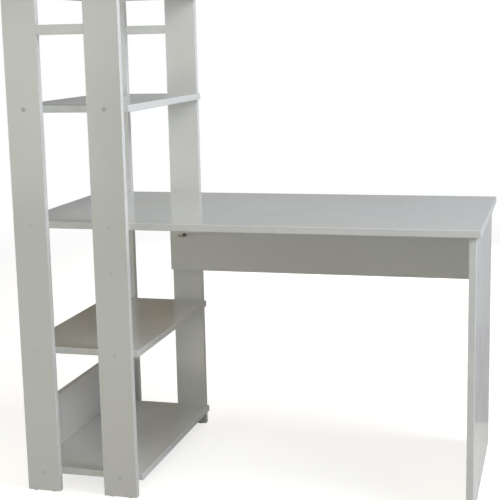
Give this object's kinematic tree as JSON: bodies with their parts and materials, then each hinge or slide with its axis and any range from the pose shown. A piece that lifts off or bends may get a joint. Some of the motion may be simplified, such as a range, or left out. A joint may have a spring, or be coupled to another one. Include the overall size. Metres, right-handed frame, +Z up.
{
  "type": "study desk with shelving tower",
  "caption": "White board study desk: a long worktop between an open shelving tower at the left and a full-depth leg panel at the right, with a modesty panel behind.",
  "frame": {"origin": "on the floor, under the middle of the outer box", "axes": "+Z up, the front faces -Y, the shelving tower is at -X and the leg panel at +X"},
  "size_m": [1.2, 0.6376, 1.328],
  "materials": {
    "melamine_board": "satin white melamine face",
    "edge_band": "smooth white edge band",
    "dowel_wood": "bare beech",
    "screw_steel": "zinc-plated",
    "screw_cap": "matt white",
    "cam_zinc": "bare die-cast zinc",
    "cam_cover": "matt white",
    "glide_plastic": "matt dark grey"
  },
  "bodies": {
    "root": {"front_left_post": "melamine_board", "front_right_post": "melamine_board", "rear_left_post": "melamine_board", "rear_right_post": "melamine_board", "bottom_shelf": "melamine_board", "lower_shelf": "melamine_board", "desktop": "melamine_board", "upper_shelf": "melamine_board", "top_shelf": "melamine_board", "high_front_rail": "melamine_board", "high_rear_rail": "melamine_board", "bottom_side_board": "melamine_board", "modesty_panel": "melamine_board", "right_leg_panel": "melamine_board", "front_left_post_edge_bands": "edge_band", "front_right_post_edge_bands": "edge_band", "rear_left_post_edge_bands": "edge_band", "rear_right_post_edge_bands": "edge_band", "bottom_shelf_edge_bands": "edge_band", "lower_shelf_edge_bands": "edge_band", "desktop_edge_bands": "edge_band", "upper_shelf_edge_bands": "edge_band", "top_shelf_edge_bands": "edge_band", "high_front_rail_edge_bands": "edge_band", "high_rear_rail_edge_bands": "edge_band", "bottom_side_board_edge_bands": "edge_band", "modesty_panel_edge_bands": "edge_band", "right_leg_panel_edge_bands": "edge_band", "bottom_shelf_dowels": "dowel_wood", "lower_shelf_dowels": "dowel_wood", "desktop_dowels": "dowel_wood", "upper_shelf_dowels": "dowel_wood", "top_shelf_dowels": "dowel_wood", "high_rail_dowels": "dowel_wood", "modesty_dowels": "dowel_wood", "leg_dowels": "dowel_wood", "bottom_shelf_screws": "screw_steel", "lower_shelf_screws": "screw_steel", "desktop_screws": "screw_steel", "upper_shelf_screws": "screw_steel", "top_shelf_screws": "screw_steel", "side_board_screws": "screw_steel", "modesty_post_screw": "screw_steel", "modesty_cam_bolts": "screw_steel", "leg_cam_bolts": "screw_steel", "bottom_shelf_screw_caps": "screw_cap", "lower_shelf_screw_caps": "screw_cap", "desktop_screw_caps": "screw_cap", "upper_shelf_screw_caps": "screw_cap", "top_shelf_screw_caps": "screw_cap", "panel_hole_caps": "screw_cap", "modesty_cams": "cam_zinc", "leg_cams": "cam_zinc", "modesty_cam_covers": "cam_cover", "leg_cam_covers": "cam_cover", "front_left_post_glides": "glide_plastic", "front_right_post_glides": "glide_plastic", "rear_left_post_glides": "glide_plastic", "rear_right_post_glides": "glide_plastic", "leg_glides": "glide_plastic"}
  },
  "joints": []
}
